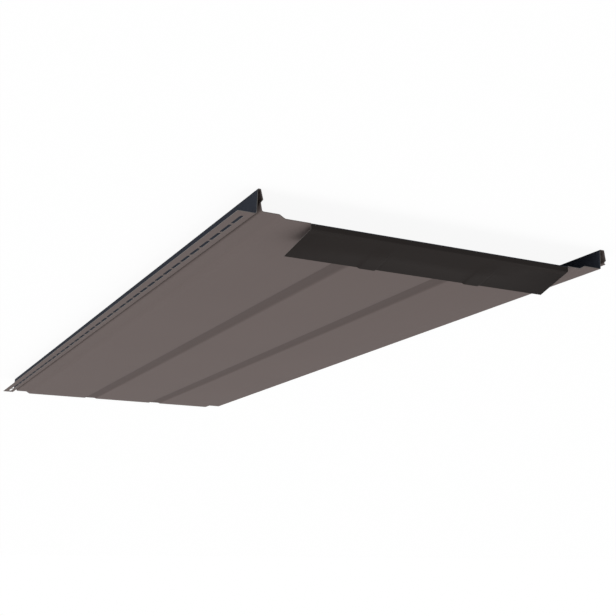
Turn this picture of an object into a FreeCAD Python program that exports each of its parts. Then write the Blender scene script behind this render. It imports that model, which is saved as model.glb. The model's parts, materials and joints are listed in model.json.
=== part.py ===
"""A snap-lock standing-seam roofing sheet, rolled and folded from one strip of coated steel.

The sheet is drawn as it is laid on the roof: X across the roof, from the nail flange to the
covering seam, Y up the slope from the eave, Z up. X is zero on the outer face of the locking seam,
and Z is zero on the underside of the pan. It is then turned over to lie face down on its seams.
"""
import FreeCAD, Part
import Sketcher
from FreeCAD import Placement, Rotation, Vector

import math
import os

NODE = "roofing_sheet"

SIZES = (
    # The strip and its cover
    ("sheet_length", 1354.0),
    ("thickness", 0.5),
    ("cover_width", 500.0),
    ("bend_radius", 0.8),
    # The nail flange and its slots
    ("flange_width", 22.5),
    ("flange_rise", 0.8),
    ("slot_inset", 10.8),
    ("slot_width", 4.5),
    ("slot_length", 30.0),
    ("slot_pitch", 34.1),
    ("slot_count", 39),
    # The locking seam, measured from its outer face
    ("lock_height", 30.9),
    ("lock_lean", 1.1),
    ("lock_gap", 3.2),
    ("barb_reach", 8.2),
    ("barb_height", 18.6),
    ("neck_reach", 5.4),
    ("neck_height", 14.8),
    ("foot_reach", 7.2),
    ("foot_radius", 2.0),
    # The covering seam, measured from the next sheet's locking seam
    ("cover_height", 31.5),
    ("cover_play", 0.6),
    ("cap_width", 7.6),
    ("bulge_reach", 9.5),
    ("bulge_height", 17.2),
    ("kink_reach", 6.1),
    ("kink_height", 14.0),
    ("lip_reach", 8.2),
    ("lip_height", 11.3),
    # The pan between the seams, with a raised strip along each of them
    ("strip_width", 35.6),
    ("step_width", 7.2),
    ("strip_rise", 4.2),
    ("step_radius", 4.0),
    # The two stiffening ribs
    ("pan_middle", 254.5),
    ("rib_spacing", 155.7),
    ("rib_foot", 28.0),
    ("rib_crown", 20.0),
    ("rib_rise", 1.5),
    ("rib_runout", 20.0),
    ("rib_margin", 6.0),
    # The tab folded under at the eave
    ("tab_middle", 255.8),
    ("fold_width", 375.0),
    ("free_width", 384.0),
    ("fold_height", 6.4),
    ("leg_length", 61.3),
    ("leg_angle", 14.6),
)

# The section line runs along the underside: corner x, corner z, radius on the underside
TIGHT = "sizes.bend_radius"
WIDE = "sizes.bend_radius + sizes.thickness"
FOOT = "sizes.foot_radius + sizes.thickness"
PLY = "sizes.cover_width - sizes.cover_play"
CAP = f"{PLY} + sizes.lock_lean"
FLAT_LEFT = "sizes.strip_width"
FLAT_RIGHT = "sizes.cover_width - sizes.strip_width"
SECTION = (
    ("-sizes.flange_width", "sizes.flange_rise", None),
    ("sizes.thickness", "sizes.flange_rise", FOOT),
    ("sizes.lock_lean + sizes.thickness", "sizes.lock_height - sizes.thickness", TIGHT),
    ("sizes.lock_lean + sizes.thickness + sizes.lock_gap", "sizes.lock_height - sizes.thickness", TIGHT),
    ("sizes.barb_reach - sizes.thickness", "sizes.barb_height", TIGHT),
    ("sizes.neck_reach - sizes.thickness", "sizes.neck_height", WIDE),
    ("sizes.foot_reach - sizes.thickness", "sizes.strip_rise", FOOT),
    (f"{FLAT_LEFT} - sizes.step_width", "sizes.strip_rise", "sizes.step_radius"),
    (FLAT_LEFT, "0", "sizes.step_radius + sizes.thickness"),
    (FLAT_RIGHT, "0", "sizes.step_radius + sizes.thickness"),
    (f"{FLAT_RIGHT} + sizes.step_width", "sizes.strip_rise", "sizes.step_radius"),
    (PLY, "sizes.strip_rise", WIDE),
    (CAP, "sizes.cover_height - sizes.thickness", TIGHT),
    (f"{CAP} + sizes.cap_width - 2 * sizes.thickness", "sizes.cover_height - sizes.thickness", TIGHT),
    ("sizes.cover_width + sizes.bulge_reach - sizes.thickness", "sizes.bulge_height", TIGHT),
    ("sizes.cover_width + sizes.kink_reach - sizes.thickness", "sizes.kink_height", WIDE),
    ("sizes.cover_width + sizes.lip_reach - sizes.thickness", "sizes.lip_height", None),
)

# Length of pan and of leg that the eave fold takes in, and the first slot's place along the flange
NOSE = "3 * sizes.bend_radius"
FIRST_SLOT = "(sizes.sheet_length - (sizes.slot_count - 1) * sizes.slot_pitch) / 2"

ORIGIN = (-1, 1)
START, END, CENTRE = 1, 2, 3
TOUCHING = 1e-6


def bind(thing, **expressions):
    """Bind properties of one object to the sheet of sizes."""
    for name, expression in expressions.items():
        thing.setExpression(name, expression)


def place(thing, across, along, up):
    """Bind the place of one object to the sheet of sizes."""
    thing.setExpression("Placement.Base.x", across)
    thing.setExpression("Placement.Base.y", along)
    thing.setExpression("Placement.Base.z", up)


def leg_start(skin):
    """Where the tab's leg leaves the fold, on its inner face or on the face one skin further out."""
    return (f"sizes.thickness + {NOSE} * cos(sizes.leg_angle) - {skin} * sin(sizes.leg_angle)",
            f"-sizes.fold_height - {NOSE} * sin(sizes.leg_angle) - {skin} * cos(sizes.leg_angle)")


def size_sheet(doc):
    """The driving dimensions, one aliased cell each."""
    sheet = doc.addObject("Spreadsheet::Sheet", "sizes")
    for row, (alias, value) in enumerate(SIZES, start=1):
        sheet.set(f"A{row}", alias)
        sheet.set(f"B{row}", str(value))
        sheet.setAlias(f"B{row}", alias)
    doc.recompute()
    return sheet


def dimension(sketch, kind, first, second, name, expression):
    """One driving dimension of a sketch, bound to the sheet of sizes."""
    value = sketch.evalExpression(expression)
    number = sketch.addConstraint(Sketcher.Constraint(kind, *first, *second, float(value)))
    sketch.renameConstraint(number, name)
    sketch.setExpression(f"Constraints.{name}", expression)


def bent_line(sketch, corners):
    """Straight runs joined by tangent arcs, each corner set by its place and its radius."""
    places = []
    for across, up, radius in corners:
        places.append(Vector(sketch.evalExpression(across), sketch.evalExpression(up), 0))
    bends = [rounded(sketch, corners, places, i) for i in range(1, len(corners) - 1)]
    starts = [places[0]] + [bend[1] for bend in bends]
    ends = [bend[0] for bend in bends] + [places[-1]]
    runs = [sketch.addGeometry(Part.LineSegment(a, b), False) for a, b in zip(starts, ends)]
    arcs = [sketch.addGeometry(Part.Arc(a, middle, b), False) for a, b, middle in bends]
    corner_of = {0: (runs[0], START), len(corners) - 1: (runs[-1], END)}
    for i, arc in enumerate(arcs, start=1):
        corner = sketch.addGeometry(Part.Point(places[i]), True)
        arc_ends = (START, END)
        if (sketch.getPoint(arc, START) - bends[i - 1][0]).Length > TOUCHING:
            arc_ends = (END, START)
        sketch.addConstraint([
            Sketcher.Constraint("Tangent", runs[i - 1], END, arc, arc_ends[0]),
            Sketcher.Constraint("Tangent", arc, arc_ends[1], runs[i], START),
            Sketcher.Constraint("PointOnObject", corner, START, runs[i - 1]),
            Sketcher.Constraint("PointOnObject", corner, START, runs[i]),
        ])
        dimension(sketch, "Radius", (arc,), (), f"bend{i}", corners[i][2])
        corner_of[i] = (corner, START)
    for i, (across, up, radius) in enumerate(corners):
        dimension(sketch, "DistanceX", ORIGIN, corner_of[i], f"across{i}", across)
        dimension(sketch, "DistanceY", ORIGIN, corner_of[i], f"up{i}", up)


def rounded(sketch, corners, places, i):
    """Where the arc at one corner starts and ends, and its middle."""
    radius = sketch.evalExpression(corners[i][2])
    back = (places[i - 1] - places[i]).normalize()
    ahead = (places[i + 1] - places[i]).normalize()
    half = back.getAngle(ahead) / 2
    reach = radius / math.tan(half)
    inward = (back + ahead).normalize()
    middle = places[i] + inward * (radius / math.sin(half) - radius)
    return places[i] + back * reach, places[i] + ahead * reach, middle


def slot_outline(sketch):
    """One slot of the nail flange: two half circles and the sides between them."""
    across = sketch.evalExpression("-sizes.slot_inset")
    along = sketch.evalExpression(FIRST_SLOT)
    radius = sketch.evalExpression("sizes.slot_width / 2")
    half = sketch.evalExpression("(sizes.slot_length - sizes.slot_width) / 2")
    up, side = Vector(0, half, 0), Vector(radius, 0, 0)
    middle = Vector(across, along, 0)
    far_circle = Part.Circle(middle + up, Vector(0, 0, 1), radius)
    near_circle = Part.Circle(middle - up, Vector(0, 0, 1), radius)
    far = sketch.addGeometry(Part.ArcOfCircle(far_circle, 0, math.pi), False)
    near = sketch.addGeometry(Part.ArcOfCircle(near_circle, math.pi, 2 * math.pi), False)
    left = sketch.addGeometry(Part.LineSegment(middle + up - side, middle - up - side), False)
    right = sketch.addGeometry(Part.LineSegment(middle - up + side, middle + up + side), False)
    sketch.addConstraint([
        Sketcher.Constraint("Tangent", far, END, left, START),
        Sketcher.Constraint("Tangent", left, END, near, START),
        Sketcher.Constraint("Tangent", near, END, right, START),
        Sketcher.Constraint("Tangent", right, END, far, START),
        Sketcher.Constraint("Vertical", left),
    ])
    dimension(sketch, "Radius", (far,), (), "half_width", "sizes.slot_width / 2")
    dimension(sketch, "DistanceX", ORIGIN, (far, CENTRE), "inset", "-sizes.slot_inset")
    dimension(sketch, "DistanceY", ORIGIN, (near, CENTRE), "near_end",
              f"{FIRST_SLOT} - (sizes.slot_length - sizes.slot_width) / 2")
    dimension(sketch, "DistanceY", (near, CENTRE), (far, CENTRE), "run",
              "sizes.slot_length - sizes.slot_width")


def rib_wedge(sheet, kind, name, turn):
    """A straight rib with sloping sides, ready to be set on the sheet and given its two ends."""
    rib = sheet.newObject(f"PartDesign::{kind}Wedge", f"{kind}{name}")
    rib.Placement = Placement(Vector(), turn)
    bind(rib, Ymin="0", Ymax="sizes.rib_rise")
    bind(rib, Xmin="-sizes.rib_foot / 2", Xmax="sizes.rib_foot / 2")
    bind(rib, X2min="-sizes.rib_crown / 2", X2max="sizes.rib_crown / 2")
    return rib


def pan_rib(sheet, kind, side, across, skin, over):
    """A rib of the pan, which runs out before the eave fold and is cut square at the top end."""
    rib = rib_wedge(sheet, kind, f"{side}PanRib", Rotation(Vector(1, 0, 0), 90))
    place(rib, across, "0", skin)
    bind(rib, Zmin=f"-sizes.sheet_length - {over}", Z2min=f"-sizes.sheet_length - {over}")
    bind(rib, Zmax=f"-({NOSE}) - sizes.rib_margin")
    bind(rib, Z2max=f"-({NOSE}) - sizes.rib_margin - sizes.rib_runout")


def leg_rib(sheet, kind, side, across, skin, over):
    """A rib of the tab's leg, which starts behind the eave fold and is cut square at the free edge."""
    rib = rib_wedge(sheet, kind, f"{side}LegRib", Rotation(Vector(-1, 0, 0), 90))
    rib.setExpression("Placement.Rotation.Angle", "90 + sizes.leg_angle")
    place(rib, across, *leg_start(skin))
    bind(rib, Zmin="sizes.rib_margin", Z2min="sizes.rib_margin + sizes.rib_runout")
    bind(rib, Zmax=f"sizes.leg_length + {over}", Z2max=f"sizes.leg_length + {over}")


def thick_strip(doc, name, sketch, thickness, direction, length):
    """The strip that follows one section line: the line, the sheet's thickness and a straight run."""
    skin = doc.addObject("Part::Offset2D", f"{name}Skin")
    skin.Source = sketch
    skin.Mode = "Skin"
    skin.Join = "Arc"
    skin.Fill = True
    bind(skin, Value=thickness)
    run = doc.addObject("Part::Extrusion", f"{name}Run")
    run.Base = skin
    run.DirMode = "Custom"
    run.Dir = direction
    run.Solid = True
    bind(run, LengthFwd=length)
    return run


doc = FreeCAD.newDocument("roofing_sheet")
sizes = size_sheet(doc)

# Rolled section: flange, locking seam, pan with its raised strips, covering seam
section = doc.addObject("Sketcher::SketchObject", "Section")
section.Placement = Placement(Vector(), Rotation(Vector(1, 0, 0), 90))
bent_line(section, SECTION)
rolled = thick_strip(doc, "Rolled", section, "sizes.thickness", Vector(0, 1, 0), "sizes.sheet_length")

# Eave fold: the pan is notched back to where the fold starts, and the nose goes on from there
FOLD_LEFT = "sizes.tab_middle - sizes.fold_width / 2"
FOLD = (
    (NOSE, "0", None),
    ("sizes.thickness", "0", TIGHT),
    ("sizes.thickness", "-sizes.fold_height", TIGHT),
    (*leg_start("0"), None),
)
notch = doc.addObject("Part::Box", "Notch")
bind(notch, Length="sizes.fold_width", Width=f"2 * ({NOSE})", Height="3 * sizes.thickness")
place(notch, FOLD_LEFT, f"-({NOSE})", "-sizes.thickness")
notched = doc.addObject("Part::Cut", "Notched")
notched.Base = rolled
notched.Tool = notch
fold = doc.addObject("Sketcher::SketchObject", "Fold")
fold.Placement = Placement(Vector(), Rotation(Vector(1, 1, 1), 120))
place(fold, FOLD_LEFT, "0", "0")
bent_line(fold, FOLD)
nose = thick_strip(doc, "Nose", fold, "sizes.thickness", Vector(1, 0, 0), "sizes.fold_width")

# Tab leg: a plate that widens a little towards its free edge and opens away from the pan
leg = doc.addObject("Part::Wedge", "Leg")
leg.Placement = Placement(Vector(), Rotation(Vector(-1, 0, 0), sizes.leg_angle))
leg.setExpression("Placement.Rotation.Angle", "sizes.leg_angle")
place(leg, "sizes.tab_middle", *leg_start("sizes.thickness"))
bind(leg, Ymin="0", Ymax="sizes.leg_length")
bind(leg, Xmin="-sizes.fold_width / 2", Xmax="sizes.fold_width / 2")
bind(leg, X2min="-sizes.free_width / 2", X2max="sizes.free_width / 2")
bind(leg, Zmin="0", Zmax="sizes.thickness", Z2min="0", Z2max="sizes.thickness")

folded = doc.addObject("Part::MultiFuse", "Folded")
folded.Shapes = [notched, nose, leg]
folded.Refine = True
doc.recompute()

sheet = doc.addObject("PartDesign::Body", "Sheet")
sheet.Label = NODE
sheet.BaseFeature = folded
doc.recompute()

# Stiffening ribs: raised on the face and hollow below, along the pan and again along the tab
for side, across in (("Left", "sizes.pan_middle - sizes.rib_spacing / 2"),
                     ("Right", "sizes.pan_middle + sizes.rib_spacing / 2")):
    for kind, skin, over in (("Additive", "sizes.thickness", "0"), ("Subtractive", "0", "sizes.thickness")):
        pan_rib(sheet, kind, side, across, skin, over)
        doc.recompute()
        leg_rib(sheet, kind, side, across, skin, over)
        doc.recompute()

# Nail slots: one slot cut through the flange and repeated up the slope
axes = {feature.Role: feature for feature in sheet.Origin.OriginFeatures}
slot = sheet.newObject("Sketcher::SketchObject", "Slot")
slot.AttachmentSupport = (axes["XY_Plane"], [""])
slot.MapMode = "FlatFace"
slot_outline(slot)
punched = sheet.newObject("PartDesign::Pocket", "Punched")
punched.Profile = slot
punched.Type = "ThroughAll"
punched.Midplane = True
doc.recompute()
slot_row = sheet.newObject("PartDesign::LinearPattern", "SlotRow")
slot_row.Originals = [punched]
slot_row.Direction = (axes["Y_Axis"], [""])
bind(slot_row, Occurrences="sizes.slot_count", Length="(sizes.slot_count - 1) * sizes.slot_pitch")
sheet.Tip = slot_row
doc.recompute()

# Turned over, face down on its two seams, with the middle of its outline on the origin
box = sheet.Shape.optimalBoundingBox(False)
sheet.Placement = Placement(Vector(box.Center.x, -box.Center.y, box.ZMax), Rotation(Vector(0, 1, 0), 180))
doc.recompute()

for thing in doc.Objects:
    if "Invalid" in thing.State or "Error" in thing.State:
        raise RuntimeError(f"{thing.Name} failed: {thing.State}")
if sheet.Shape.isNull() or not sheet.Shape.isValid() or len(sheet.Shape.Solids) != 1:
    raise RuntimeError("the sheet is not one valid solid")

os.makedirs("parts", exist_ok=True)
sheet.Shape.exportStep(os.path.join("parts", f"{sheet.Label}.step"))
print(sheet.Label, round(sheet.Shape.Volume), sheet.Shape.BoundBox)
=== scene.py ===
"""The finished look of a snap-lock standing-seam roofing sheet, over the frame of its solid."""
import json
import math

import bmesh
import bpy
from bmesh.types import BMEdge, BMVert
from bpy.props import FloatProperty, FloatVectorProperty, IntProperty, PointerProperty
from mathutils import Matrix, Vector


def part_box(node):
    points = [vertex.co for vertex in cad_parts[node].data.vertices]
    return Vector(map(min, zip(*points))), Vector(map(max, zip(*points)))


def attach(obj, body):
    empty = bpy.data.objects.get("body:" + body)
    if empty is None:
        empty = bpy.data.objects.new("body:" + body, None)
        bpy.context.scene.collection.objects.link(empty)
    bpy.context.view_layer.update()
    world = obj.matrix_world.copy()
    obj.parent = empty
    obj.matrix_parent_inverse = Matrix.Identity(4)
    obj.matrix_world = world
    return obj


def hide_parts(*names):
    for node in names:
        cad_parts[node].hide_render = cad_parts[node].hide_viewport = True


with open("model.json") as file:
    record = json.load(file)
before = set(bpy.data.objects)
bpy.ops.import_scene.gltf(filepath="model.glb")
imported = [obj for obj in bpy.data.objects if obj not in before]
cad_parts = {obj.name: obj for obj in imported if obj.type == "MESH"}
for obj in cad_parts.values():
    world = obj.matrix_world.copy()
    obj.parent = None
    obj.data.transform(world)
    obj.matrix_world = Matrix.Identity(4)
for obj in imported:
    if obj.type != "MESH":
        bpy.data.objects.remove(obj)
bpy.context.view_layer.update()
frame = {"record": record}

bl_info = {
    "name": "Roofing sheet",
    "version": (1, 0, 0),
    "blender": (4, 5, 0),
    "location": "3D View > Sidebar > Roofing",
    "description": "Builds one snap-lock standing-seam roofing sheet with its coatings, and a plain stage",
    "category": "Object",
}

NODE = "roofing_sheet"
SHEET_LOW, SHEET_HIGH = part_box(NODE)
NAIL_SLOTS = next(mount["dims"] for mount in frame["record"]["mounts"] if mount["name"] == "nail_slots_1")
MILLIMETRE = 0.001

# Corners of the two seams on the underside of the strip: distance from the seam's line, then height
LOCKING_SEAM = ((0.0016, 0.0304), (0.0048, 0.0304), (0.0077, 0.0186), (0.0049, 0.0148))
COVERING_SEAM = ((0.0005, 0.031), (0.0071, 0.031), (0.009, 0.0172), (0.0056, 0.014), (0.0077, 0.0113))

# Where each seam's foot stands on the raised strip beside it, from the seam's line
LOCKING_FOOT = 0.0067
COVERING_FOOT = -0.0006

# Half the width of flange that is filled again round the slots, in slot widths
SLOT_STRIP = 1.1

# Length of pan, and of leg, that the eave fold takes in, in bend radii
NOSE_BENDS = 3

# The object's materials, in the order of its slots
BACKING, FACE, CUT_EDGE = range(3)

# How finely bends, ribs and slots are cut into faces, and what still counts as flat and as touching
BEND_STEP = math.radians(12)
RIB_STEPS = 4
SLOT_SIDES = 28
FLAT_ANGLE = math.radians(0.5)
TOUCH = 0.05 * MILLIMETRE

# The slanting way along which edges and faces are put in order
ORDER_WAY = Vector((1.0, math.pi, math.e))

# How the streaks of the backing coat are drawn out along the coil, and how little both coats mirror
STREAK_STRETCH = (1.0, 0.004, 1.0)
MATT_MIRROR = 0.015

# Painted shade along a rib, as a darker backing coat: how far it holds, in crown widths, and where it ends,
# in foot widths
RIB_SHADE_HOLDS = 0.45
RIB_SHADE_ENDS = 0.55

# The sockets with which a Mix node mixes colours
MIX_SHARE, MIX_FIRST, MIX_SECOND = 0, 6, 7
MIX_RESULT = 2

# The stage round the sheet
WHITE = (1.0, 1.0, 1.0)
FLOOR_REACH = 40.0
FLOOR_COLOUR = (0.97, 0.97, 0.97)
FLOOR_GLOW = 0.93
SUN_TURN = (math.radians(-4), math.radians(30), 0.0)
SUN_SPREAD = math.radians(50)
FILM_WIDTH = 36.0
VIEW_DEPTH = 4 * FLOOR_REACH


def length(name, description, default):
    """A length of the sheet that a user may change."""
    return FloatProperty(name=name, description=description, default=default, min=0.0, unit="LENGTH",
                         precision=4)


def colour(name, description, default):
    """A colour of the sheet that a user may change."""
    return FloatVectorProperty(name=name, description=description, default=default, size=3, subtype="COLOR",
                               min=0.0, max=1.0)


class SheetSizes(bpy.types.PropertyGroup):
    """Sizes of the rolled section, its slots, its ribs and the tab at the eave."""

    sheet_length: length("Length", "From the eave fold to the top end", SHEET_HIGH.y - SHEET_LOW.y)
    thickness: length("Thickness", "Steel with both coatings", 0.0005)
    cover_width: length("Cover width", "From one seam's line to the next", 0.500)
    cover_height: length("Seam height", "Height of the covering seam over the pan", 0.0315)
    bend_radius: length("Bend radius", "Inside radius of the tight bends", 0.0008)
    foot_radius: length("Foot radius", "Inside radius at both feet of the locking seam", 0.002)
    flange_width: length("Flange width", "Nail flange beyond the locking seam", 0.0225)
    flange_rise: length("Flange rise", "Underside of the nail flange over that of the pan", 0.0008)
    slot_inset: length("Slot inset", "Middle of the slots from the locking seam", 0.0108)
    slot_width: length("Slot width", "Width of a nail slot", 2 * NAIL_SLOTS["hole_r_mm"] * MILLIMETRE)
    slot_length: length("Slot length", "A nail slot with its round ends",
                        NAIL_SLOTS["slot_length_mm"] * MILLIMETRE)
    slot_pitch: length("Slot pitch", "From the middle of one slot to the next", 0.0341)
    slot_count: IntProperty(name="Slots", description="Number of nail slots", default=39, min=1)
    strip_width: length("Strip width", "Raised strip and step along a seam, from the seam's line", 0.0356)
    step_width: length("Step width", "Slope from the flat pan up to the strip along a seam", 0.0072)
    strip_rise: length("Strip rise", "Height of the strip along each seam over the pan", 0.0042)
    step_radius: length("Step radius", "Inside radius at both bends of a step", 0.004)
    pan_middle: length("Pan middle", "Half way between the ribs, from the locking seam", 0.2545)
    rib_spacing: length("Rib spacing", "From the middle of one rib to the other", 0.1557)
    rib_foot: length("Rib foot", "Width of a rib at its foot", 0.028)
    rib_crown: length("Rib crown", "Width of a rib at its crown", 0.020)
    rib_rise: length("Rib rise", "Height of a rib", 0.0015)
    rib_margin: length("Rib margin", "From the eave fold to the start of a rib", 0.006)
    rib_runout: length("Rib run-out", "Length over which a rib rises to its height", 0.020)
    tab_middle: length("Tab middle", "Middle of the tab from the locking seam", 0.2558)
    fold_width: length("Fold width", "Width of the tab at the eave fold", 0.375)
    free_width: length("Free width", "Width of the tab at its free edge", 0.384)
    fold_height: length("Fold height", "Inside height of the upright face of the eave fold", 0.0064)
    leg_length: length("Tab length", "Flat leg of the tab", 0.0613)
    leg_angle: FloatProperty(name="Tab angle", description="Angle between the tab and the pan",
                             default=math.radians(14.6), subtype="ANGLE")


class SheetFinish(bpy.types.PropertyGroup):
    """Colours of the sheet's two coatings and of its bare cut edges, with painted shade along the ribs and
    painted warm light on the tab.
    """

    backing_colour: colour("Backing coat", "Underside of the sheet", (0.141, 0.115, 0.109))
    # Painted shade along the ribs, given as a darker backing coat
    rib_shade_colour: colour("Backing coat with painted rib shade", "Backing coat along the ribs", (0.101, 0.081, 0.077))
    face_colour: colour("Face coat", "Weather side of the sheet", (0.0349, 0.0396, 0.0532))
    # Painted warm light: the face coat's warmer tint on the tab
    tab_warm_light_colour: colour("Face coat with painted warm light", "Weather side of the tab", (0.0250, 0.0214, 0.0202))
    edge_colour: colour("Cut edge", "Sheared steel and zinc at the edges", (0.135, 0.128, 0.122))


class StageSettings(bpy.types.PropertyGroup):
    """The viewpoint and the light on the sheet."""

    camera_place: FloatVectorProperty(name="Camera place", description="Where the camera stands",
                                      default=(0.67453, -1.66374, 0.41188), subtype="TRANSLATION")
    camera_turn: FloatVectorProperty(name="Camera turn", description="How the camera is turned",
                                     default=[math.radians(turn) for turn in (-75.7596, 0.2192, -153.2647)],
                                     subtype="EULER")
    camera_lens: FloatProperty(name="Lens", description="Focal length on a 36 mm frame", default=59.627,
                               unit="CAMERA")
    sky: FloatProperty(name="Sky", description="Even light from all round", default=0.6, min=0.0)
    sun: FloatProperty(name="Sun", description="Soft light from above", default=1.38, min=0.0)


def slot_strip(sizes):
    """Edges of the strip of the flange that holds the nail slots."""
    half = SLOT_STRIP * sizes.slot_width
    return -sizes.slot_inset - half, -sizes.slot_inset + half


def first_slot(sizes):
    """Middle of the slot nearest to the eave."""
    return (sizes.sheet_length - (sizes.slot_count - 1) * sizes.slot_pitch) / 2


def fold_sides(sizes):
    """Both ends of the eave fold."""
    return sizes.tab_middle - sizes.fold_width / 2, sizes.tab_middle + sizes.fold_width / 2


def nose_reach(sizes):
    """Length of pan, and of leg, that the eave fold takes in."""
    return NOSE_BENDS * sizes.bend_radius


def rib_middles(sizes):
    """Middle of each rib."""
    return sizes.pan_middle - sizes.rib_spacing / 2, sizes.pan_middle + sizes.rib_spacing / 2


def rib_stations(sizes, start):
    """Stations along a rib's run-out, from its start to its full height."""
    return [start + sizes.rib_runout * i / RIB_STEPS for i in range(RIB_STEPS + 1)]


def ease(share):
    """A smooth rise from 0 to 1."""
    share = min(max(share, 0.0), 1.0)
    return share * share * (3 - 2 * share)


def rib_height(sizes, across, along):
    """Height of the nearer rib, at a distance along from the start of its run-out."""
    off = min(abs(across - middle) for middle in rib_middles(sizes))
    slope = (sizes.rib_foot - sizes.rib_crown) / 2
    return sizes.rib_rise * ease((sizes.rib_foot / 2 - off) / slope) * ease(along / sizes.rib_runout)


def pan_columns(sizes):
    """Lines up the flat pan that the ribs and the eave fold need, from left to right."""
    slope = (sizes.rib_foot - sizes.rib_crown) / 2
    reaches = [sizes.rib_crown / 2 + slope * i / RIB_STEPS for i in range(RIB_STEPS + 1)]
    columns = list(fold_sides(sizes))
    for middle in rib_middles(sizes):
        columns += [middle + side * reach for reach in reaches for side in (-1, 1)]
    return sorted(columns)


def section_corners(sizes):
    """Corners of the section along the underside: across, up, and the radius of the bend, if it is one."""
    tight = sizes.bend_radius
    wide = sizes.bend_radius + sizes.thickness
    hollow = sizes.step_radius + sizes.thickness
    foot = sizes.foot_radius + sizes.thickness
    flat_left = sizes.strip_width
    flat_right = sizes.cover_width - sizes.strip_width
    seam = sizes.cover_width
    return [
        (-sizes.flange_width, sizes.flange_rise, None),
        *((x, sizes.flange_rise, None) for x in slot_strip(sizes)),
        (sizes.thickness, sizes.flange_rise, foot),
        *((x, z, radius) for (x, z), radius in zip(LOCKING_SEAM, (tight, tight, tight, wide))),
        (LOCKING_FOOT, sizes.strip_rise, foot),
        (flat_left - sizes.step_width, sizes.strip_rise, sizes.step_radius),
        (flat_left, 0.0, hollow),
        *((x, 0.0, None) for x in pan_columns(sizes)),
        (flat_right, 0.0, hollow),
        (flat_right + sizes.step_width, sizes.strip_rise, sizes.step_radius),
        (seam + COVERING_FOOT, sizes.strip_rise, wide),
        *((seam + x, z, radius)
          for (x, z), radius in zip(COVERING_SEAM, (tight, tight, tight, wide, None))),
    ]


def section_line(bm, sizes):
    """The section on the underside, drawn as one line with every bend rounded."""
    corners = section_corners(sizes)
    verts = [bmesh.ops.create_vert(bm, co=(x, 0, z))["vert"][0] for x, z, radius in corners]
    for first, second in zip(verts, verts[1:]):
        bmesh.ops.contextual_create(bm, geom=[first, second])
    bends = []
    for vert, (x, z, radius) in zip(verts, corners):
        if radius:
            before, after = (edge.other_vert(vert).co - vert.co for edge in vert.link_edges)
            bends.append((vert, radius, math.pi - before.angle(after)))
    for vert, radius, turn in bends:
        bmesh.ops.bevel(bm, geom=[vert], offset=radius * math.tan(turn / 2), offset_type="OFFSET",
                        segments=math.ceil(turn / BEND_STEP), profile=0.5, affect="VERTICES", material=-1)
    return list(bm.edges)


def grow(bm, edges, step):
    """One more ring of faces on an edge of the sheet, and the edge that it then ends in."""
    grown = bmesh.ops.extrude_edge_only(bm, edges=edges)["geom"]
    bmesh.ops.translate(bm, verts=[part for part in grown if isinstance(part, BMVert)], vec=step)
    return [part for part in grown if isinstance(part, BMEdge)]


def each_once(parts):
    """Parts of a mesh in the order in which they come, each of them once."""
    return list(dict.fromkeys(parts))


def bend(bm, edges, centre, turn):
    """A tight bend on an edge of the sheet, and the edge that it then ends in."""
    verts = each_once(vert for edge in edges for vert in edge.verts)
    bent = bmesh.ops.spin(bm, geom=[*verts, *edges], cent=centre, axis=(1, 0, 0), angle=turn,
                          steps=math.ceil(turn / BEND_STEP))["geom_last"]
    return [part for part in bent if isinstance(part, BMEdge)]


def roll_out(bm, sizes):
    """The section line drawn out up the slope, with its ribs, and a ring of faces at each slot."""
    nose = nose_reach(sizes)
    rib_start = nose + sizes.rib_margin
    cells = [first_slot(sizes) + (i - 0.5) * sizes.slot_pitch for i in range(sizes.slot_count + 1)]
    stations = sorted([0.0, nose, *rib_stations(sizes, rib_start), *cells, sizes.sheet_length])
    edges = section_line(bm, sizes)
    for start, end in zip(stations, stations[1:]):
        edges = grow(bm, edges, Vector((0, end - start, 0)))
    for vert in bm.verts:
        vert.co.z += rib_height(sizes, vert.co.x, vert.co.y - rib_start)


def punch_slots(bm, sizes):
    """Every nail slot, with the flange round it filled again."""
    left, right = slot_strip(sizes)
    strip = [(face, face.calc_center_median()) for face in bm.faces]
    strip = [(face, middle.y) for face, middle in strip if left < middle.x < right]
    half_side = Matrix.Rotation(math.pi / SLOT_SIDES, 4, "Z")
    stretch = Vector((0, (sizes.slot_length - sizes.slot_width) / 2, 0))
    for i in range(sizes.slot_count):
        along = first_slot(sizes) + i * sizes.slot_pitch
        cell = [face for face, y in strip if abs(y - along) < sizes.slot_pitch / 2]
        sides = each_once(edge for face in cell for edge in face.edges)
        border = [edge for edge in sides if sum(face in cell for face in edge.link_faces) == 1]
        strip = [(face, y) for face, y in strip if face not in cell]
        bmesh.ops.delete(bm, geom=cell, context="FACES_KEEP_BOUNDARY")
        place = Matrix.Translation((-sizes.slot_inset, along, sizes.flange_rise))
        rim = bmesh.ops.create_circle(bm, cap_ends=False, radius=sizes.slot_width / 2, segments=SLOT_SIDES,
                                      matrix=place @ half_side)["verts"]
        for side in (-1, 1):
            end = [vert for vert in rim if (vert.co.y - along) * side > 0]
            bmesh.ops.translate(bm, verts=end, vec=stretch * side)
        border += each_once(edge for vert in rim for edge in vert.link_edges)
        bmesh.ops.triangle_fill(bm, use_beauty=True, edges=border, normal=(0, 0, 1))


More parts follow.
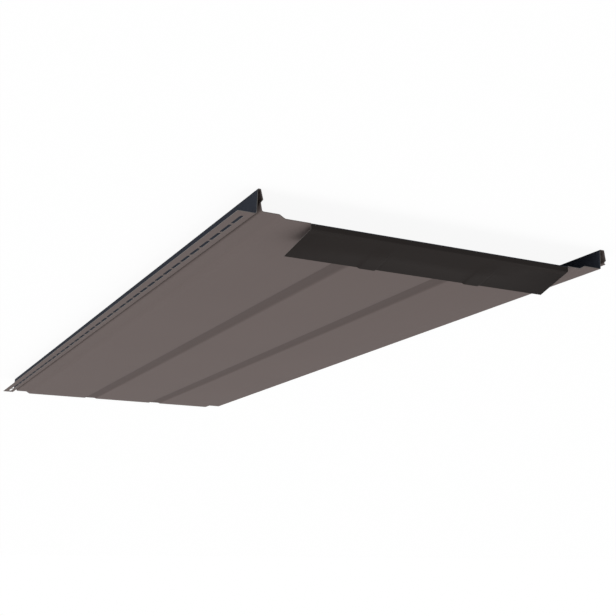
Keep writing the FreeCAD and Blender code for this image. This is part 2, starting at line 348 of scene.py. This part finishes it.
def fold_tab(bm, sizes):
    """The tab at the eave: the pan notched back, boxed round the nose and run on as a flat leg."""
    left, right = fold_sides(sizes)
    nose = nose_reach(sizes)
    middles = [(face, face.calc_center_median()) for face in bm.faces]
    notch = [face for face, middle in middles if left < middle.x < right and middle.y < nose]
    bmesh.ops.delete(bm, geom=notch, context="FACES")

    on_fold = {vert for vert in bm.verts
               if abs(vert.co.y - nose) < TOUCH and left - TOUCH < vert.co.x < right + TOUCH}
    edges = [edge for edge in bm.edges if edge.is_boundary and on_fold.issuperset(edge.verts)]

    along = Vector((0, math.cos(sizes.leg_angle), -math.sin(sizes.leg_angle)))
    outward = Vector((0, -math.sin(sizes.leg_angle), -math.cos(sizes.leg_angle)))
    turn = math.pi / 2 - sizes.leg_angle
    reach = sizes.bend_radius * math.tan(turn / 2)
    inside = sizes.thickness + sizes.bend_radius
    edges = grow(bm, edges, Vector((0, inside - nose, 0)))
    edges = bend(bm, edges, (0, inside, -sizes.bend_radius), math.pi / 2)
    edges = grow(bm, edges, Vector((0, 0, sizes.bend_radius + reach - sizes.fold_height)))
    edges = bend(bm, edges, (0, inside, reach - sizes.fold_height), turn)
    edges = grow(bm, edges, along * (nose - reach))

    flare = (sizes.free_width - sizes.fold_width) / 2
    stations = [0.0, *rib_stations(sizes, sizes.rib_margin), sizes.leg_length]
    rings = []
    for start, end in zip(stations, stations[1:]):
        edges = grow(bm, edges, along * (end - start))
        rings.append((end, {vert for edge in edges for vert in edge.verts}))
    for run, ring in rings:
        for vert in ring:
            across = vert.co.x
            vert.co += outward * rib_height(sizes, across, run - sizes.rib_margin)
            if min(across - left, right - across) < TOUCH:
                vert.co.x += math.copysign(flare, across - sizes.tab_middle) * run / sizes.leg_length


def turn_over(bm, sizes):
    """Lay the sheet face down on its seams, where its solid lies, with its underside outwards."""
    bmesh.ops.rotate(bm, verts=bm.verts, cent=(0, 0, 0), matrix=Matrix.Rotation(math.pi, 3, "Y"))
    to_solid = Vector((SHEET_HIGH.x - sizes.flange_width, SHEET_LOW.y, SHEET_LOW.z + sizes.cover_height))
    bmesh.ops.translate(bm, verts=bm.verts, vec=to_solid)
    bmesh.ops.recalc_face_normals(bm, faces=bm.faces)
    flange = max(bm.faces, key=lambda face: face.calc_center_median().x)
    if flange.normal.z < 0:
        bmesh.ops.reverse_faces(bm, faces=bm.faces)


def settle_order(bm):
    """Sort edges and faces by where they lie, so that every run gives the same mesh."""
    bm.edges.sort(key=lambda edge: (edge.verts[0].co + edge.verts[1].co).dot(ORDER_WAY))
    bm.faces.sort(key=lambda face: face.calc_center_median().dot(ORDER_WAY))


def is_bent(face):
    """Whether a face belongs to a bend, a fold or the slope of a rib, and not to a flat."""
    return any(FLAT_ANGLE < edge.calc_face_angle(0.0) < 2 * BEND_STEP for edge in face.edges)


def thicken(sheet, sizes):
    """Give the underside its steel and its face coat, with a rim along every cut edge."""
    wall = sheet.modifiers.new("steel", "SOLIDIFY")
    wall.thickness = sizes.thickness
    wall.offset = -1.0
    wall.use_even_offset = True
    wall.use_quality_normals = True
    wall.material_offset = FACE
    wall.material_offset_rim = CUT_EDGE
    depsgraph = bpy.context.evaluated_depsgraph_get()
    solid = bpy.data.meshes.new_from_object(sheet.evaluated_get(depsgraph))
    solid.name = sheet.name
    sheet.modifiers.clear()
    sheet.data = solid
    for polygon in solid.polygons:
        if polygon.material_index == CUT_EDGE:
            polygon.use_smooth = False


class Value:
    """A number that varies over a surface: sums, differences and products of it add Math nodes."""

    def __init__(self, finish, socket):
        self.finish = finish
        self.socket = socket

    def maths(self, operation, first, second):
        node = self.finish.node("ShaderNodeMath", {"operation": operation}, {0: first, 1: second})
        return Value(self.finish, node.outputs[0])

    def __add__(self, other):
        return self.maths("ADD", self, other)

    def __radd__(self, other):
        return self.maths("ADD", other, self)

    def __sub__(self, other):
        return self.maths("SUBTRACT", self, other)

    def __rsub__(self, other):
        return self.maths("SUBTRACT", other, self)

    def __mul__(self, other):
        return self.maths("MULTIPLY", self, other)

    def __rmul__(self, other):
        return self.maths("MULTIPLY", other, self)

    def __abs__(self):
        return self.maths("ABSOLUTE", self, 0.0)


class Finish:
    """A procedural finish: the node tree of one material or of the world."""

    def __init__(self, owner):
        owner.use_nodes = True
        self.tree = owner.node_tree
        self.tree.nodes.clear()

    def node(self, kind, settings, sockets):
        """One node: its settings first, then the values and links of its sockets."""
        node = self.tree.nodes.new(kind)
        for name, setting in settings.items():
            setattr(node, name, setting)
        for name, value in sockets.items():
            if isinstance(value, Value):
                value = value.socket
            if isinstance(value, bpy.types.NodeSocket):
                self.tree.links.new(value, node.inputs[name])
            else:
                node.inputs[name].default_value = value
        return node

    def place(self):
        """The place on the piece, in metres."""
        return self.node("ShaderNodeTexCoord", {}, {}).outputs["Object"]

    def part_of(self, place, axis):
        """One of a place's three measures."""
        return Value(self, self.node("ShaderNodeSeparateXYZ", {}, {"Vector": place}).outputs[axis])

    def stretched(self, place, scale):
        """A place with its three directions drawn out or squeezed together."""
        return self.node("ShaderNodeMapping", {}, {"Vector": place, "Scale": scale}).outputs["Vector"]

    def noise(self, place, scale, detail, roughness):
        """Soft random variation from 0 to 1, with scale in spots to the metre."""
        node = self.node("ShaderNodeTexNoise", {}, {"Vector": place, "Scale": scale, "Detail": detail,
                                                    "Roughness": roughness})
        return Value(self, node.outputs["Fac"])

    def eased(self, value, low, high):
        """A smooth rise from 0 where the value is low to 1 where it is high."""
        node = self.node("ShaderNodeMapRange", {"interpolation_type": "SMOOTHSTEP"},
                         {"Value": value, "From Min": low, "From Max": high})
        return Value(self, node.outputs["Result"])

    def mixed(self, share, first, second):
        """A colour between two colours."""
        node = self.node("ShaderNodeMix", {"data_type": "RGBA"},
                         {MIX_SHARE: share, MIX_FIRST: first, MIX_SECOND: second})
        return node.outputs[MIX_RESULT]

    def toned(self, tint, tone):
        """A colour made lighter or darker by a number."""
        tones = self.node("ShaderNodeCombineXYZ", {}, {"X": tone, "Y": tone, "Z": tone})
        node = self.node("ShaderNodeVectorMath", {"operation": "MULTIPLY"}, {0: tint, 1: tones.outputs[0]})
        return node.outputs[0]

    def bumped(self, height, strength, distance):
        """A surface normal that follows a fine relief."""
        node = self.node("ShaderNodeBump", {},
                         {"Height": height, "Strength": strength, "Distance": distance})
        return node.outputs["Normal"]

    def shaded(self, sockets):
        """The finished surface."""
        surface = self.node("ShaderNodeBsdfPrincipled", {}, sockets).outputs[0]
        self.node("ShaderNodeOutputMaterial", {}, {"Surface": surface})


def opaque(tint):
    """A colour with its alpha, as a colour socket takes it."""
    return (*tint, 1.0)


def backing_coat(sizes, finish):
    """Thin brown-grey backing coat: streaks along the coil, fine grain, and painted shade along the ribs.
    """
    material = bpy.data.materials.new("backing_coat")
    coat = Finish(material)
    place = coat.place()
    streaks = coat.noise(coat.stretched(place, STREAK_STRETCH), scale=240.0, detail=3.0, roughness=0.6)
    clouds = coat.noise(place, scale=5.0, detail=2.0, roughness=0.5)
    grain = coat.noise(place, scale=1600.0, detail=2.0, roughness=0.6)

    # Painted shade: the backing coat darkens along each rib
    pan_middle = SHEET_HIGH.x - sizes.flange_width - sizes.pan_middle
    off_rib = abs(abs(coat.part_of(place, "X") - pan_middle) - sizes.rib_spacing / 2)
    rib_shade = 1 - coat.eased(off_rib, RIB_SHADE_HOLDS * sizes.rib_crown, RIB_SHADE_ENDS * sizes.rib_foot)

    tint = coat.mixed(rib_shade, opaque(finish.backing_colour), opaque(finish.rib_shade_colour))
    tone = 0.90 + 0.08 * streaks + 0.06 * clouds + 0.06 * grain
    coat.shaded({
        "Base Color": coat.toned(tint, tone),
        "Roughness": 0.56 + 0.10 * streaks + 0.08 * grain,
        "Normal": coat.bumped(grain, strength=0.25, distance=0.04 * MILLIMETRE),
        "Specular IOR Level": MATT_MIRROR,
    })
    return material


def face_coat(sizes, finish):
    """Matt dark grey paint with a fine textured skin, cool on the seams; the tab takes a warmer tint, as
    painted warm light.
    """
    material = bpy.data.materials.new("face_coat")
    coat = Finish(material)
    place = coat.place()
    wrinkle = coat.noise(place, scale=2200.0, detail=3.0, roughness=0.55)
    clouds = coat.noise(place, scale=8.0, detail=2.0, roughness=0.5)

    # Only the tab rises over the level of the pan; there the coat takes a warmer tint, as painted warm
    # light
    pan_level = SHEET_LOW.z + sizes.cover_height
    first_bend = sizes.bend_radius + sizes.thickness
    warm_light_on_tab = coat.eased(coat.part_of(place, "Z"), pan_level, pan_level + first_bend)
    tint = coat.mixed(warm_light_on_tab, opaque(finish.face_colour), opaque(finish.tab_warm_light_colour))
    coat.shaded({
        "Base Color": coat.toned(tint, 0.86 + 0.20 * wrinkle + 0.08 * clouds),
        "Roughness": 0.58 + 0.14 * wrinkle,
        "Normal": coat.bumped(wrinkle, strength=0.4, distance=0.08 * MILLIMETRE),
        "Specular IOR Level": MATT_MIRROR,
    })
    return material


def cut_edge(finish):
    """Sheared steel between its two coats of zinc."""
    material = bpy.data.materials.new("cut_edge")
    edge = Finish(material)
    shear = edge.noise(edge.place(), scale=1200.0, detail=2.0, roughness=0.6)
    edge.shaded({
        "Base Color": edge.toned(finish.edge_colour, 0.75 + 0.5 * shear),
        "Roughness": 0.4 + 0.2 * shear,
        "Metallic": 0.2,
    })
    return material


class ROOFING_OT_sheet(bpy.types.Operator):
    """Build the roofing sheet over its solid: rolled, punched, given its eave fold and coated"""

    bl_idname = "roofing.sheet"
    bl_label = "Roofing sheet"

    def execute(self, context):
        sizes = context.scene.sheet_sizes
        finish = context.scene.sheet_finish
        bm = bmesh.new()
        roll_out(bm, sizes)
        punch_slots(bm, sizes)
        fold_tab(bm, sizes)
        turn_over(bm, sizes)
        settle_order(bm)
        for face in bm.faces:
            face.smooth = is_bent(face)
        mesh = bpy.data.meshes.new("sheet_of_coated_steel")
        bm.to_mesh(mesh)
        bm.free()

        sheet = bpy.data.objects.new("sheet_of_coated_steel", mesh)
        context.collection.objects.link(sheet)
        for coating in (backing_coat(sizes, finish), face_coat(sizes, finish), cut_edge(finish)):
            mesh.materials.append(coating)
        thicken(sheet, sizes)
        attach(sheet, "root")
        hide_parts(NODE)
        return {"FINISHED"}


def seen_directly(finish):
    """1 for what the camera sees, also in a reflection or through glass, and 0 for light on the object."""
    rays = finish.node("ShaderNodeLightPath", {}, {})
    seen = finish.node("ShaderNodeMath", {"operation": "MAXIMUM"},
                       {0: rays.outputs["Is Camera Ray"], 1: rays.outputs["Is Glossy Ray"]})
    seen = finish.node("ShaderNodeMath", {"operation": "MAXIMUM"},
                       {0: seen.outputs[0], 1: rays.outputs["Is Transmission Ray"]})
    return Value(finish, seen.outputs[0])


def lay_floor(context):
    """A white floor that keeps a faint shadow of the sheet."""
    bm = bmesh.new()
    bmesh.ops.create_grid(bm, x_segments=1, y_segments=1, size=FLOOR_REACH)
    bmesh.ops.translate(bm, verts=bm.verts, vec=(0, 0, SHEET_LOW.z))
    mesh = bpy.data.meshes.new("floor")
    bm.to_mesh(mesh)
    bm.free()
    floor = bpy.data.objects.new("floor", mesh)
    context.collection.objects.link(floor)
    material = bpy.data.materials.new("white_floor")
    paint = Finish(material)
    matt = paint.node("ShaderNodeBsdfDiffuse", {}, {"Color": opaque(FLOOR_COLOUR)}).outputs[0]
    glow = paint.node("ShaderNodeEmission", {}, {"Strength": 1.0}).outputs[0]
    mix = paint.node("ShaderNodeMixShader", {}, {0: FLOOR_GLOW * seen_directly(paint), 1: matt, 2: glow})
    paint.node("ShaderNodeOutputMaterial", {}, {"Surface": mix.outputs[0]})
    mesh.materials.append(material)


def light_sky(context, settings):
    """Even light from all round, on a background that shows white."""
    world = bpy.data.worlds.new("studio")
    context.scene.world = world
    sky = Finish(world)
    strength = settings.sky + (1 - settings.sky) * seen_directly(sky)
    glow = sky.node("ShaderNodeBackground", {}, {"Color": opaque(WHITE), "Strength": strength})
    sky.node("ShaderNodeOutputWorld", {}, {"Surface": glow.outputs[0]})


def hang_sun(context, settings):
    """One broad soft light from above."""
    light = bpy.data.lights.new("soft_light", "SUN")
    light.energy = settings.sun
    light.angle = SUN_SPREAD
    lamp = bpy.data.objects.new("soft_light", light)
    lamp.rotation_euler = SUN_TURN
    context.collection.objects.link(lamp)


def stand_camera(context, settings):
    """The camera at the viewpoint from which the sheet is shown."""
    view = bpy.data.cameras.new("camera")
    view.sensor_width = FILM_WIDTH
    view.lens = settings.camera_lens
    view.clip_end = VIEW_DEPTH
    camera = bpy.data.objects.new("camera", view)
    camera.location = settings.camera_place
    camera.rotation_euler = settings.camera_turn
    context.collection.objects.link(camera)
    context.scene.camera = camera


class ROOFING_OT_stage(bpy.types.Operator):
    """Set the white floor, the even light and the camera"""

    bl_idname = "roofing.stage"
    bl_label = "Stage"

    def execute(self, context):
        settings = context.scene.stage_settings
        context.scene.view_settings.view_transform = "Standard"
        lay_floor(context)
        light_sky(context, settings)
        hang_sun(context, settings)
        stand_camera(context, settings)
        return {"FINISHED"}


class VIEW3D_PT_roofing(bpy.types.Panel):
    """The sheet's sizes, its coatings and the stage"""

    bl_label = "Roofing sheet"
    bl_space_type = "VIEW_3D"
    bl_region_type = "UI"
    bl_category = "Roofing"

    def draw(self, context):
        for operator, group in ((ROOFING_OT_sheet, "sheet_sizes"), (None, "sheet_finish"),
                                (ROOFING_OT_stage, "stage_settings")):
            settings = getattr(context.scene, group)
            box = self.layout.box()
            for name in settings.bl_rna.properties.keys():
                if name not in {"rna_type", "name"}:
                    box.prop(settings, name)
            if operator:
                box.operator(operator.bl_idname)


GROUPS = {"sheet_sizes": SheetSizes, "sheet_finish": SheetFinish, "stage_settings": StageSettings}
CLASSES = (*GROUPS.values(), ROOFING_OT_sheet, ROOFING_OT_stage, VIEW3D_PT_roofing)


def register():
    """Add the classes and the scene's settings."""
    for each in CLASSES:
        bpy.utils.register_class(each)
    for name, group in GROUPS.items():
        setattr(bpy.types.Scene, name, PointerProperty(type=group))


def unregister():
    """Take the scene's settings and the classes away again."""
    for name in GROUPS:
        delattr(bpy.types.Scene, name)
    for each in reversed(CLASSES):
        bpy.utils.unregister_class(each)


def main():
    """Build the sheet and its stage."""
    register()
    bpy.ops.roofing.sheet()
    bpy.ops.roofing.stage()


if __name__ == "__main__":
    main()
